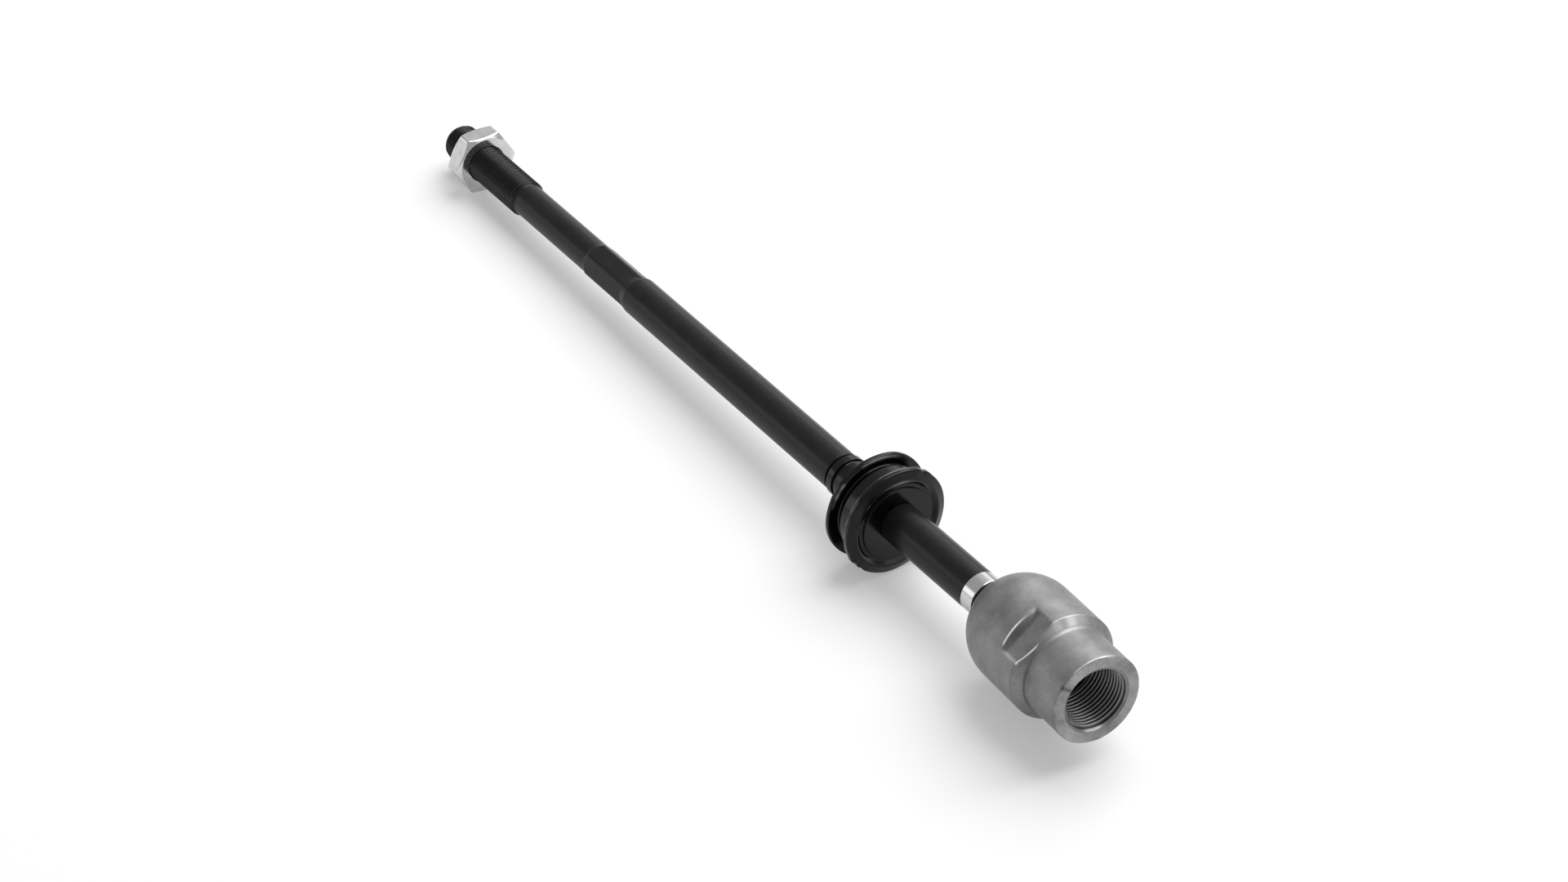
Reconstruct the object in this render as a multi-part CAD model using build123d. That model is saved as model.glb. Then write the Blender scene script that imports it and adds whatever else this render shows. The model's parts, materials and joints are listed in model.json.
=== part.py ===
from build123d import *
import os
from math import atan, cos, degrees, pi, radians, sqrt, tan

# An inner tie rod for rack-and-pinion steering, lying on its jam nut and its gaiter bush.
# Lengths are millimetres and angles degrees. The rod is drawn along X about the centre of its
# ball, with the threaded end towards -X. The socket is drawn along X about the same centre,
# with its mouth towards +X, and is then swung a little on the ball.

# Ball and shank of the rod
ball_diameter = 27.0
ball_flat_diameter = 9.0
waist_diameter = 11.8
waist_reach = 16.5
waist_cone_length = 3.0
shank_diameter = 14.1
front_shank_length = 49.0
middle_shank_length = 127.8
bush_recess_diameter = 12.0
waist_rounding = 1.5
shoulder_rounding = 0.8

# Spanner hexagon, slim section and thread of the rod
hexagon_across_flats = 12.4
hexagon_corner_rounding = 1.4
hexagon_length = 24.5
hexagon_run_out = 3.5
hexagon_run_out_rounding = 1.5
slim_diameter = 12.3
slim_length = 50.4
thread_diameter = 14.0
thread_length = 50.4
thread_lead_angle = 45.0
tip_diameter = 11.2
tip_chamfer_length = 1.6

# Jam nut
nut_across_flats = 22.0
nut_height = 8.0
nut_chamfer_angle = 30.0
nut_chamfer_diameter = 20.9
nut_countersink = 0.5
free_thread = 12.9

# Rubber bush that carries the small end of the gaiter
flange_diameter = 38.2
flange_rounding = 0.4
near_flange_width = 2.0
far_flange_width = 1.5
face_hub_diameter = 26.0
face_groove_depth = 0.8
face_groove_width = 1.3
face_groove_rounding = 0.2
face_lip_height = 0.4
face_lip_diameter = 31.6
face_lip_rounding = 0.9
face_slope_length = 1.5
seat_band_diameter = 33.2
seat_band_width = 6.2
seat_valley_diameter = 30.0
seat_valley_width = 2.6
seat_valley_rounding = 0.6
bush_corner_rounding = 0.3
sleeve_diameter = 15.1
sleeve_length = 16.0
sleeve_groove_width = 0.6
sleeve_groove_depth = 0.45
sleeve_groove_from_end = 3.8
back_slope_length = 2.2
back_slope_rounding = 1.0

# Socket housing
socket_diameter = 36.9
barrel_length = 21.1
barrel_end_rounding = 1.2
step_length = 2.6
step_root_rounding = 2.4
neck_diameter = 30.7
mouth_reach = 40.5
mouth_chamfer = 0.6
opening_half_angle = 43.0
rim_rounding = 0.4
spanner_across_flats = 33.0
spanner_flat_start = 12.6
spanner_wall_angle = 45.0
spanner_wall_rounding = 3.8
spanner_flat_roll = 37.5
rack_thread_diameter = 22.0
lead_in_diameter = 22.8
lead_in_half_angle = 30.0
rack_bore_depth = 20.5
rack_bore_rounding = 1.0

# Plastic ball seat
seat_wall = 2.0
seat_opening_half_angle = 48.0
seat_slot_count = 6
seat_slot_width = 1.4
seat_slot_reach = 5.0
seat_grease_hole_diameter = 7.0

# Clearances, each measured on the radius or along the axis
ball_clearance = 0.05
seat_clearance = 0.05
thread_clearance = 0.05
bush_clearance = 0.05
bush_end_clearance = 0.1

# How the object lies: the socket's swing on the ball, and the roll of the two hexagons
socket_yaw = -4.5
socket_lift = 2.6
nut_roll = 0.0
hexagon_roll = 14.0

# Radii and stations along the rod, worked out from the sizes above
ball_radius = ball_diameter / 2
shank_radius = shank_diameter / 2
thread_radius = thread_diameter / 2
flange_radius = flange_diameter / 2
shoulder = -(waist_reach + waist_cone_length)
bush_face = shoulder - front_shank_length
near_flange_front = bush_face - face_slope_length + face_lip_height
near_flange_back = near_flange_front - near_flange_width
band_end = near_flange_back - seat_band_width
far_flange_front = band_end - seat_valley_width
far_flange_back = far_flange_front - far_flange_width
sleeve_start = far_flange_back - back_slope_length
bush_end = sleeve_start - sleeve_length
hexagon_cone_start = bush_end - middle_shank_length
hexagon_start = hexagon_cone_start - hexagon_run_out
hexagon_end = hexagon_start - hexagon_length
thread_start = hexagon_end - slim_length
tip = thread_start - thread_length
nut_outer_face = tip + free_thread
nut_inner_face = nut_outer_face + nut_height
nut_flat_reach = nut_across_flats / 2
nut_corner_reach = nut_flat_reach / cos(pi / 6)
nut_chamfer_drop = (nut_flat_reach - nut_chamfer_diameter / 2) * tan(radians(nut_chamfer_angle))
lead_in_rise = (lead_in_diameter - rack_thread_diameter) / 2
lead_in_depth = lead_in_rise / tan(radians(lead_in_half_angle))


def turned(*corners):
    """Solid turned about X from corners (x, radius) or (x, radius, rounding)."""
    points = [corner[:2] for corner in corners]
    roundings = [corner[2] if len(corner) > 2 else 0 for corner in corners]
    outline = FilletPolyline(*points, radius=roundings, close=True)
    return revolve(make_face(outline), Axis.X)


def bar(x_low, x_high, radius):
    """Round bar along X."""
    return turned((x_low, 0), (x_high, 0), (x_high, radius), (x_low, radius))


def hexagon_bar(x_low, x_high, across_flats, rounding, roll):
    """Hexagonal bar along X. At no roll one flat faces straight down."""
    outline = RegularPolygon(across_flats / 2, 6, major_radius=False)
    if rounding:
        outline = fillet(outline.vertices(), rounding)
    prism = extrude(Plane.YZ * Rot(0, 0, roll) * outline, x_high - x_low)
    return Pos(x_low, 0, 0) * prism


def make_tie_rod():
    """Ball, waist, shank with the bush's recess, spanner hexagon, slim section and thread blank."""
    flat_reach = sqrt(ball_radius**2 - (ball_flat_diameter / 2) ** 2)
    ball = Sphere(ball_radius) & bar(-ball_diameter, flat_reach, ball_diameter)
    recess_radius = bush_recess_diameter / 2
    core_radius = hexagon_across_flats / 2
    thread_lead = (thread_radius - slim_diameter / 2) / tan(radians(thread_lead_angle))
    front = turned(
        (0, 0),
        (0, waist_diameter / 2),
        (-waist_reach, waist_diameter / 2, waist_rounding),
        (shoulder, shank_radius, shoulder_rounding),
        (bush_face, shank_radius),
        (bush_face, recess_radius),
        (bush_end - bush_end_clearance, recess_radius),
        (bush_end - bush_end_clearance, shank_radius),
        (hexagon_cone_start, shank_radius, hexagon_run_out_rounding),
        (hexagon_start, core_radius),
        (hexagon_start, 0),
    )
    back = turned(
        (hexagon_start, 0),
        (hexagon_start, slim_diameter / 2),
        (thread_start + thread_lead, slim_diameter / 2),
        (thread_start, thread_radius),
        (tip + tip_chamfer_length, thread_radius),
        (tip, tip_diameter / 2),
        (tip, 0),
    )
    return ball + front + back + make_hexagon()


def make_hexagon():
    """The spanner hexagon, its corners chamfered down to the slim section."""
    corner_radius = hexagon_across_flats / 2 / cos(pi / 6)
    chamfer_length = 2 * (corner_radius - slim_diameter / 2)
    envelope = turned(
        (hexagon_cone_start, 0),
        (hexagon_cone_start, corner_radius),
        (hexagon_end + chamfer_length, corner_radius),
        (hexagon_end, slim_diameter / 2),
        (hexagon_end, 0),
    )
    prism = hexagon_bar(
        hexagon_end, hexagon_cone_start, hexagon_across_flats, hexagon_corner_rounding, hexagon_roll
    )
    return prism & envelope


def make_jam_nut():
    """Chamfered hexagon nut with a countersunk bore."""
    bore_radius = thread_radius + thread_clearance
    mouth_radius = bore_radius + nut_countersink
    slope = tan(radians(nut_chamfer_angle))
    chamfer_radius = nut_chamfer_diameter / 2
    chamfer_height = (nut_corner_reach - chamfer_radius) * slope
    turned_blank = turned(
        (nut_outer_face, mouth_radius),
        (nut_outer_face, chamfer_radius),
        (nut_outer_face + chamfer_height, nut_corner_reach),
        (nut_inner_face - chamfer_height, nut_corner_reach),
        (nut_inner_face, chamfer_radius),
        (nut_inner_face, mouth_radius),
        (nut_inner_face - nut_countersink, bore_radius),
        (nut_outer_face + nut_countersink, bore_radius),
    )
    return turned_blank & hexagon_bar(nut_outer_face, nut_inner_face, nut_across_flats, 0, nut_roll)


def make_gaiter_bush():
    """Moulded rubber bush: ringed sleeve, two flanges with the gaiter's seat between, lipped face."""
    bore_radius = bush_recess_diameter / 2 + bush_clearance
    hub_radius = face_hub_diameter / 2
    groove_radius = hub_radius + face_groove_width
    lip_radius = face_lip_diameter / 2
    band_radius = seat_band_diameter / 2
    valley_radius = seat_valley_diameter / 2
    sleeve_radius = sleeve_diameter / 2
    ring_low = bush_end + sleeve_groove_from_end
    ring_high = ring_low + sleeve_groove_width
    ring_radius = sleeve_radius - sleeve_groove_depth
    front = bush_face - bush_end_clearance
    return turned(
        (front, bore_radius),
        (front, hub_radius, bush_corner_rounding),
        (front - face_groove_depth, hub_radius, face_groove_rounding),
        (front - face_groove_depth, groove_radius, face_groove_rounding),
        (front + face_lip_height, lip_radius, face_lip_rounding),
        (near_flange_front, flange_radius, flange_rounding),
        (near_flange_back, flange_radius, flange_rounding),
        (near_flange_back, band_radius, bush_corner_rounding),
        (band_end, band_radius, seat_valley_rounding),
        (band_end, valley_radius, seat_valley_rounding),
        (far_flange_front, valley_radius, seat_valley_rounding),
        (far_flange_front, flange_radius, flange_rounding),
        (far_flange_back, flange_radius, flange_rounding),
        (sleeve_start, sleeve_radius, back_slope_rounding),
        (ring_high, sleeve_radius),
        (ring_high, ring_radius),
        (ring_low, ring_radius),
        (ring_low, sleeve_radius),
        (bush_end, sleeve_radius, bush_corner_rounding),
        (bush_end, bore_radius),
    )


def make_socket_housing():
    """Forged cup rolled over the ball, with a neck threaded for the rack and two spanner flats."""
    outer_radius = socket_diameter / 2
    cavity_radius = ball_radius + ball_clearance + seat_wall + seat_clearance
    neck_radius = neck_diameter / 2
    bore_radius = rack_thread_diameter / 2
    lead_in_radius = bore_radius + lead_in_rise
    bore_floor = mouth_reach - rack_bore_depth
    step_end = barrel_length + step_length
    barrel = turned(
        (0, 0),
        (0, outer_radius),
        (barrel_length, outer_radius, barrel_end_rounding),
        (step_end, neck_radius, step_root_rounding),
        (mouth_reach - mouth_chamfer, neck_radius),
        (mouth_reach, neck_radius - mouth_chamfer),
        (mouth_reach, 0),
    )
    dome = Sphere(outer_radius) & bar(-outer_radius, 0, outer_radius)
    bore = turned(
        (bore_floor, 0),
        (bore_floor, bore_radius, rack_bore_rounding),
        (mouth_reach - lead_in_depth, bore_radius),
        (mouth_reach, lead_in_radius),
        (mouth_reach, 0),
    )
    blank = barrel + dome - bore - Sphere(cavity_radius) - opening_cone(opening_half_angle)
    rim = [
        edge
        for edge in blank.edges().filter_by(GeomType.CIRCLE)
        if edge.center().X < -ball_radius * cos(radians(opening_half_angle)) / 2
    ]
    return fillet(rim, rim_rounding) - make_spanner_flats(step_end)


def opening_cone(half_angle):
    """Cone of sight from the ball's centre towards the rod, out past the dome."""
    length = socket_diameter
    return turned((0, 0), (-length, 0), (-length, length * tan(radians(half_angle))))


def make_spanner_flats(end):
    """The two cuts for a spanner's jaws: flat floors, open towards the neck, a coned wall behind."""
    barrel_radius = socket_diameter / 2
    depth = barrel_radius - spanner_across_flats / 2
    wall_run = barrel_radius / tan(radians(spanner_wall_angle))
    wall = turned(
        (0, 0),
        (0, barrel_radius),
        (spanner_flat_start, barrel_radius, spanner_wall_rounding),
        (spanner_flat_start + wall_run, 0),
    )
    start = spanner_flat_start - spanner_wall_rounding
    middle = Pos((start + end) / 2, 0, 0) * Rot(spanner_flat_roll, 0, 0)
    block = Box(end - start, socket_diameter, 2 * depth)
    cuts = Pos(0, 0, barrel_radius) * block + Pos(0, 0, -barrel_radius) * block
    return middle * cuts - wall


def make_ball_seat():
    """Slotted plastic shell between ball and housing, with a grease hole at its back."""
    inner_radius = ball_radius + ball_clearance
    outer_radius = inner_radius + seat_wall
    shell = Sphere(outer_radius) - Sphere(inner_radius) - opening_cone(seat_opening_half_angle)
    shell -= bar(0, 2 * outer_radius, seat_grease_hole_diameter / 2)
    slot = Pos(-outer_radius, 0, outer_radius / 2) * Box(
        2 * (outer_radius - seat_slot_reach), seat_slot_width, outer_radius * 2
    )
    for number in range(seat_slot_count):
        shell -= Rot(360 / seat_slot_count * number, 0, 0) * Pos(0, 0, outer_radius / 2) * slot
    return shell


def resting_slope():
    """Slope of the rod when its nut and its far flange touch the ground."""
    nut_foot = nut_outer_face + nut_chamfer_drop
    flange_foot = far_flange_back + flange_rounding
    return degrees(atan((flange_radius - nut_flat_reach) / (flange_foot - nut_foot)))


slope = resting_slope()
rod_placing = Rot(0, -slope, 0)
socket_placing = Rot(0, 0, socket_yaw) * Rot(0, -slope - socket_lift, 0)

nodes = {
    "tie_rod": rod_placing * make_tie_rod(),
    "jam_nut": rod_placing * make_jam_nut(),
    "gaiter_bush": rod_placing * make_gaiter_bush(),
    "socket_housing": socket_placing * make_socket_housing(),
    "ball_seat": socket_placing * make_ball_seat(),
}

# The origin is on the ground under the middle of the whole object.
boxes = [solid.bounding_box() for solid in nodes.values()]
x_middle = (min(box.min.X for box in boxes) + max(box.max.X for box in boxes)) / 2
y_middle = (min(box.min.Y for box in boxes) + max(box.max.Y for box in boxes)) / 2
lowest = min(box.min.Z for box in boxes)
grounding = Pos(-x_middle, -y_middle, -lowest)

os.makedirs("parts", exist_ok=True)
for name, solid in nodes.items():
    export_step(grounding * solid, f"parts/{name}.step")
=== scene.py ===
# %% [markdown]
# An inner tie rod joins the end of a car's steering rack to the outer tie rod end. Nearly all of it
# was turned, rolled or moulded round, so this lesson makes each skin from rings about an axis. The
# solids that carry the sizes are loaded first, and nothing here moves them.

# %% Load the solids and note their box
import bpy
import json
import numpy as np
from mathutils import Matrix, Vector


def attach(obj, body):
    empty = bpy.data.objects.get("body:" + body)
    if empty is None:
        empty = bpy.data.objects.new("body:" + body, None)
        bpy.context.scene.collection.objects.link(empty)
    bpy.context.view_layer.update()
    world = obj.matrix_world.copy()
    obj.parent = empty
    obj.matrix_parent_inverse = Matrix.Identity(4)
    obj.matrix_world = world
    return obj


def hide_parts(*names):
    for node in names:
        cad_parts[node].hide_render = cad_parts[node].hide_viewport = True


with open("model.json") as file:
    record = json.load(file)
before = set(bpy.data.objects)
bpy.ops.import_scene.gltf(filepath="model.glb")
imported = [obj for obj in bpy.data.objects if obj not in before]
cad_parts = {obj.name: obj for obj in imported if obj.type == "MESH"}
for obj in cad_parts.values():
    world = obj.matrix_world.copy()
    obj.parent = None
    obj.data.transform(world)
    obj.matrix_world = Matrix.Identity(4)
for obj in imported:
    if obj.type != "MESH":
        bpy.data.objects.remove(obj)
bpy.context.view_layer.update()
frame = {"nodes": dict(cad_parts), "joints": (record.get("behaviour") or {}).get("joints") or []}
MM = 0.001

# %% [markdown]
# The rod and its socket don't lie along one line: the socket is swung a few degrees on the ball.
# Both axes pass through the ball's centre, so a ring needs only its distance along one of them.
# The axes are read from the joints, which keeps every skin on the solid that it covers.

# %% Find the ball and the two axes
joints = {joint["name"]: joint for joint in frame["joints"]}
BALL = np.array(joints["rod_spin"]["pos_m"])
ROD = np.array(joints["rod_spin"]["axis"])
SOCKET = np.array(joints["seat_turn"]["axis"])


def upright_frame(axis):
    """Three unit rows: the axis, the level line to its left, and the line above it."""
    left = np.cross([0.0, 0.0, 1.0], axis)
    left /= np.linalg.norm(left)
    return np.array([axis, left, np.cross(axis, left)])


swing = np.degrees(np.arccos(ROD @ SOCKET))
print("ball at", BALL.round(4), "socket swung by", swing.round(2), "degrees")

# %% [markdown]
# A skin is a grid of rings and spokes. One array says how far along the axis each point lies and one
# says how far out, so a turned form, a hexagon and a screw thread are all the same kind of surface:
# only the two arrays differ. A skin ends in a pole at the axis, or its last ring meets its first.
# Faces have to point outwards, and the sign of the volume inside them tells whether they do.

# %% Rings into faces


def spokes_of(count):
    """Angles of the spokes once round, as one row."""
    return np.linspace(0, 2 * np.pi, count, endpoint=False)[None]


def ring_faces(rings, spokes, closed):
    """Quads between neighbouring rings, as rows of four point numbers, the last spoke next to the first."""
    ring = np.arange(rings if closed else rings - 1)[:, None]
    spoke = np.arange(spokes)[None, :]
    here, there = ring * spokes, ((ring + 1) % rings) * spokes
    after = (spoke + 1) % spokes
    return np.stack([here + spoke, there + spoke, there + after, here + after], axis=-1).reshape(-1, 4)


def pole_faces(first_point, spokes, pole, flip):
    """Triangles from one ring to the point on the axis that closes it."""
    spoke = np.arange(spokes)
    a, b = first_point + spoke, first_point + (spoke + 1) % spokes
    a, b = (b, a) if flip else (a, b)
    return np.stack([np.full(spokes, pole), a, b], axis=-1)


def inside_out(points, triangles):
    """True if the triangles' signed volume, a sixth of the sum of a . (b x c), is negative."""
    a, b, c = (points[triangles[:, k]] for k in range(3))
    return np.einsum("ij,ij->", a, np.cross(b, c)) < 0


def skin_faces(points, rings, spokes, closed):
    """Quads between the rings, and on an open skin a fan to each pole, all facing outwards; also how
    many triangles they make."""
    quads = ring_faces(rings, spokes, closed)
    fans = []
    if not closed:
        first_pole, last_ring = rings * spokes, (rings - 1) * spokes
        fans = [pole_faces(0, spokes, first_pole, False), pole_faces(last_ring, spokes, first_pole + 1, True)]
    triangles = np.vstack([quads[:, [0, 1, 2]], quads[:, [0, 2, 3]], *fans])
    order = -1 if inside_out(points - BALL, triangles) else 1
    faces = quads[:, ::order].tolist()
    for fan in fans:
        faces += fan[:, ::order].tolist()
    return faces, len(triangles)


print("two open rings of six spokes give", len(ring_faces(2, 6, False)), "quads")

# %% [markdown]
# The points come from the two arrays and the axis. The mesh then gets one finish for each band of
# faces between two rings, and a number for each point that says how much highlight or shade is
# painted on it, for the materials to read. Each skin rides on its body and stands for the solid below it.

# %% Rings into a skin


def ring_points(along, out, axis, nudge):
    """Point (i, j) is the ball's centre + along * axis + out * (up cos t - left sin t), in millimetres,
    with t going once round over the spokes j. nudge moves points sideways, first left and then up, and
    not below the floor."""
    turn = spokes_of(out.shape[1])[0, :, None]
    forward, left, up = upright_frame(axis)
    spoke = np.cos(turn) * up - np.sin(turn) * left
    points = BALL + MM * (along[..., None] * forward + out[..., None] * spoke[None])
    if nudge is not None:
        points += MM * (nudge[0][..., None] * left + nudge[1][..., None] * up)
        points[..., 2] = np.maximum(points[..., 2], 0.0)
    return points.reshape(-1, 3)


def ring_skin(name, along, out, axis, body, node, finishes, closed=False, paint=None, painted_light=0.0, nudge=None):
    """Skin of one solid. An open skin's end rings shrink to poles. paint is the number of each ring's
    finish. wear is 1 where a highlight is painted on and below zero where shade is painted on."""
    rings, spokes = out.shape
    along = np.broadcast_to(along, out.shape)
    points = ring_points(along, out, axis, nudge)
    if not closed:
        poles = BALL + MM * np.outer([along[0].mean(), along[-1].mean()], axis)
        points = np.vstack([points, poles])
    faces, triangle_count = skin_faces(points, rings, spokes, closed)
    mesh = bpy.data.meshes.new(name)
    mesh.from_pydata(points.tolist(), [], faces)
    mesh.shade_smooth()
    # each point's painted light: above zero a painted highlight, below zero painted shade
    painted_amount = np.zeros(len(points), np.float32)
    painted_amount[: out.size] = np.broadcast_to(painted_light, out.shape).ravel()
    mesh.attributes.new("painted_light", "FLOAT", "POINT").data.foreach_set("value", painted_amount)
    for finish in finishes:
        mesh.materials.append(finish)
    if paint is not None:
        bands = paint if closed else np.append(paint[:-1], [paint[0], paint[-1]])
        mesh.polygons.foreach_set("material_index", np.repeat(bands, spokes).astype(np.int32))
    piece = bpy.data.objects.new(name, mesh)
    bpy.context.scene.collection.objects.link(piece)
    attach(piece, body)
    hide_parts(node)
    print(name, rings, "rings of", spokes, "spokes,", triangle_count, "triangles")
    return piece


# %% [markdown]
# A turned outline is short runs joined by small arcs, because a lathe tool and a die both leave a
# radius. The path below rounds each corner with an arc that touches both runs, and then steps along
# the runs finely enough for the light to slide over them.

# %% A turned outline with rounded corners
SAME_POINT = 1e-6


def corner_arc(before, corner, after, radius, steps):
    """Points of the arc of that radius that touches both runs at the corner."""
    a, b = before - corner, after - corner
    a, b = a / np.linalg.norm(a), b / np.linalg.norm(b)
    half = np.arccos(np.clip(a @ b, -1, 1)) / 2
    middle = corner + (a + b) / np.linalg.norm(a + b) * radius / np.sin(half)
    start, end = corner + a * radius / np.tan(half), corner + b * radius / np.tan(half)
    share = np.linspace(0, 1, steps)[:, None]
    chord = (1 - share) * (start - middle) + share * (end - middle)
    return middle + radius * chord / np.linalg.norm(chord, axis=1, keepdims=True)


def run_points(start, end, step):
    """Points from start up to but not including end, at most step apart and at least two."""
    count = max(2, int(np.ceil(np.linalg.norm(end - start) / step)) + 1)
    return np.linspace(start, end, count)[:-1]


def outline(*corners, step=0.8, arc_steps=7, closed=False):
    """Path through corners (along, out) or (along, out, rounding), with runs cut to at most step."""
    spots = [np.array(corner[:2], float) for corner in corners]
    count = len(spots)
    path = []
    for index, corner in enumerate(corners):
        inner = closed or 0 < index < count - 1
        if inner and len(corner) > 2:
            after = spots[(index + 1) % count]
            path.append(corner_arc(spots[index - 1], spots[index], after, corner[2], arc_steps))
        else:
            path.append(spots[index][None])
    if closed:
        path.append(path[0][:1])
    joined = np.vstack(path)
    runs = [run_points(start, end, step) for start, end in zip(joined[:-1], joined[1:])]
    dense = np.vstack(runs if closed else runs + [joined[-1:]])
    keep = np.ones(len(dense), bool)
    keep[1:] = np.linalg.norm(np.diff(dense, axis=0), axis=1) > SAME_POINT
    return dense[keep]


rounded = outline((0, 5), (5, 5, 1), (5, 0), step=9.0, arc_steps=3)
print("a corner rounded by 1 mm:", rounded.round(1).tolist())

# %% [markdown]
# Colours are written as the hex values that a picture editor shows, and one function turns them to
# the linear numbers that the shaders want. Another adds a node. Its inputs can be plain values,
# sockets or whole nodes, of which the first output is taken, so a graph reads from the inside out.
# The scale of a noise is one over the size of its blobs, which is written in millimetres.

# %% Colours and nodes
GRAIN = {"Detail": 4.0, "Roughness": 0.6}


def hex_colour(text):
    """Linear red, green, blue and alpha of an sRGB hex colour."""
    value = np.array([int(text[k:k + 2], 16) for k in (1, 3, 5)]) / 255
    linear = np.where(value <= 0.04045, value / 12.92, ((value + 0.055) / 1.055) ** 2.4)
    return (*linear, 1.0)


def feed(tree, node, inputs):
    """Gives a node's inputs plain values, or links them to sockets or to nodes' first outputs in use."""
    for key, value in inputs.items():
        if isinstance(value, bpy.types.Node):
            value = next(output for output in value.outputs if output.enabled)
        if isinstance(value, bpy.types.NodeSocket):
            tree.links.new(value, node.inputs[key])
        else:
            node.inputs[key].default_value = value


def add_node(tree, kind, inputs, stops=(), **settings):
    """Adds a node, sets its properties and the two stops of a colour ramp, and feeds its inputs."""
    node = tree.nodes.new(kind)
    for key, value in settings.items():
        setattr(node, key, value)
    for element, (position, colour) in zip(node.color_ramp.elements if stops else (), stops):
        element.position, element.color = position, hex_colour(colour)
    feed(tree, node, inputs)
    return node


def new_finish(name, inputs):
    """A material with one Principled shader; returns it, its tree, its shader and object coordinates."""
    finish = bpy.data.materials.new(name)
    finish.use_nodes = True
    tree = finish.node_tree
    shader = tree.nodes["Principled BSDF"]
    feed(tree, shader, inputs)
    place = add_node(tree, "ShaderNodeTexCoord", {}).outputs["Object"]
    return finish, tree, shader, place


print("mid grey #808080 is", round(float(hex_colour("#808080")[0]), 3), "as a linear value")

# %% [markdown]
# The shank is forged steel with a thin black coat, phosphate and oil or an electrophoretic paint.
# It's satin: the pale floor shows in it as a soft lighter band. Fine grain in the roughness and a
# faint orange peel in the bump keep that band from looking like plastic. The rolled thread is the
# same coat under more oil, so it's smoother. Beside the ball a narrow band is turned bright.

# %% Black coated steel and the bright band
FEED_MARK = 0.1885


def black_coat(name, specular, smooth, rough):
    """Satin black coat on steel, which gives the eye a soft-edged sheen along the bar."""
    finish, tree, shader, place = new_finish(name, {"Roughness": rough, "Specular IOR Level": specular})
    cloud = add_node(tree, "ShaderNodeTexNoise", {"Vector": place, "Scale": 1 / (6.0 * MM), **GRAIN})
    peel = add_node(tree, "ShaderNodeTexNoise", {"Vector": place, "Scale": 1 / (0.5 * MM), **GRAIN})
    tone = add_node(tree, "ShaderNodeValToRGB", {"Fac": cloud}, stops=((0.3, "#121212"), (0.7, "#1a1a1a")))
    feed(tree, shader, {
        "Base Color": tone,
        "Roughness": add_node(tree, "ShaderNodeMapRange", {"Value": peel, "To Min": smooth, "To Max": rough}),
        "Normal": add_node(tree, "ShaderNodeBump", {"Height": peel, "Distance": 0.008 * MM})})
    return finish


def turned_band():
    """Bright steel turned after coating. Its feed marks are too fine to count: they blur what it mirrors
    along the rod. A wave's bands lie pi / 10 over its scale apart."""
    finish, tree, shader, place = new_finish("turned_steel", {"Metallic": 1.0, "Roughness": 0.16})
    turn = Vector(ROD).to_track_quat("X", "Z").to_euler()
    rod_place = add_node(tree, "ShaderNodeMapping", {"Vector": place, "Location": tuple(BALL),
                         "Rotation": tuple(turn)}, vector_type="TEXTURE")
    rings = add_node(tree, "ShaderNodeTexWave", {"Vector": rod_place, "Scale": np.pi / 10 / (FEED_MARK * MM),
                     "Distortion": 0.8, "Detail": 3.0}, wave_type="BANDS", bands_direction="X").outputs["Fac"]
    tone = add_node(tree, "ShaderNodeValToRGB", {"Fac": rings}, stops=((0.0, "#bcbcbc"), (1.0, "#cecece")))
    feed(tree, shader, {
        "Base Color": tone,
        "Normal": add_node(tree, "ShaderNodeBump", {"Height": rings, "Distance": 0.0006 * MM})})
    return finish


coat = black_coat("black_coated_steel", 0.2, 0.24, 0.36)
oiled = black_coat("oiled_rolled_thread", 0.34, 0.12, 0.22)
band = turned_band()
print("finishes", coat.name, oiled.name, band.name)

# %% [markdown]
# The zinc on the jam nut is bright and a little milky. The rubber is black and moulded, with a soft
# gloss, and pale highlights are painted on its upper crests. The seat inside the socket is acetal.
# On all three a slow cloud of noise, a few millimetres across, drifts through the colour, and on the
# nut and the bush through the gloss too, because no plating or moulding is quite even.

# %% Zinc, rubber and acetal


def bright_zinc():
    """Electroplated zinc, which gives the eye soft bright flats with crisp white edges."""
    finish, tree, shader, place = new_finish("bright_zinc_plate", {"Metallic": 0.92, "Roughness": 0.14})
    cloud = add_node(tree, "ShaderNodeTexNoise", {"Vector": place, "Scale": 1 / (3.0 * MM), **GRAIN})
    fine = add_node(tree, "ShaderNodeTexNoise", {"Vector": place, "Scale": 1 / (0.4 * MM), **GRAIN})
    tone = add_node(tree, "ShaderNodeValToRGB", {"Fac": cloud}, stops=((0.3, "#c4c4c6"), (0.7, "#d4d4d6")))
    feed(tree, shader, {
        "Base Color": tone,
        "Roughness": add_node(tree, "ShaderNodeMapRange", {"Value": cloud, "To Min": 0.11, "To Max": 0.17}),
        "Normal": add_node(tree, "ShaderNodeBump", {"Height": fine, "Distance": 0.0004 * MM})})
    return finish


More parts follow.
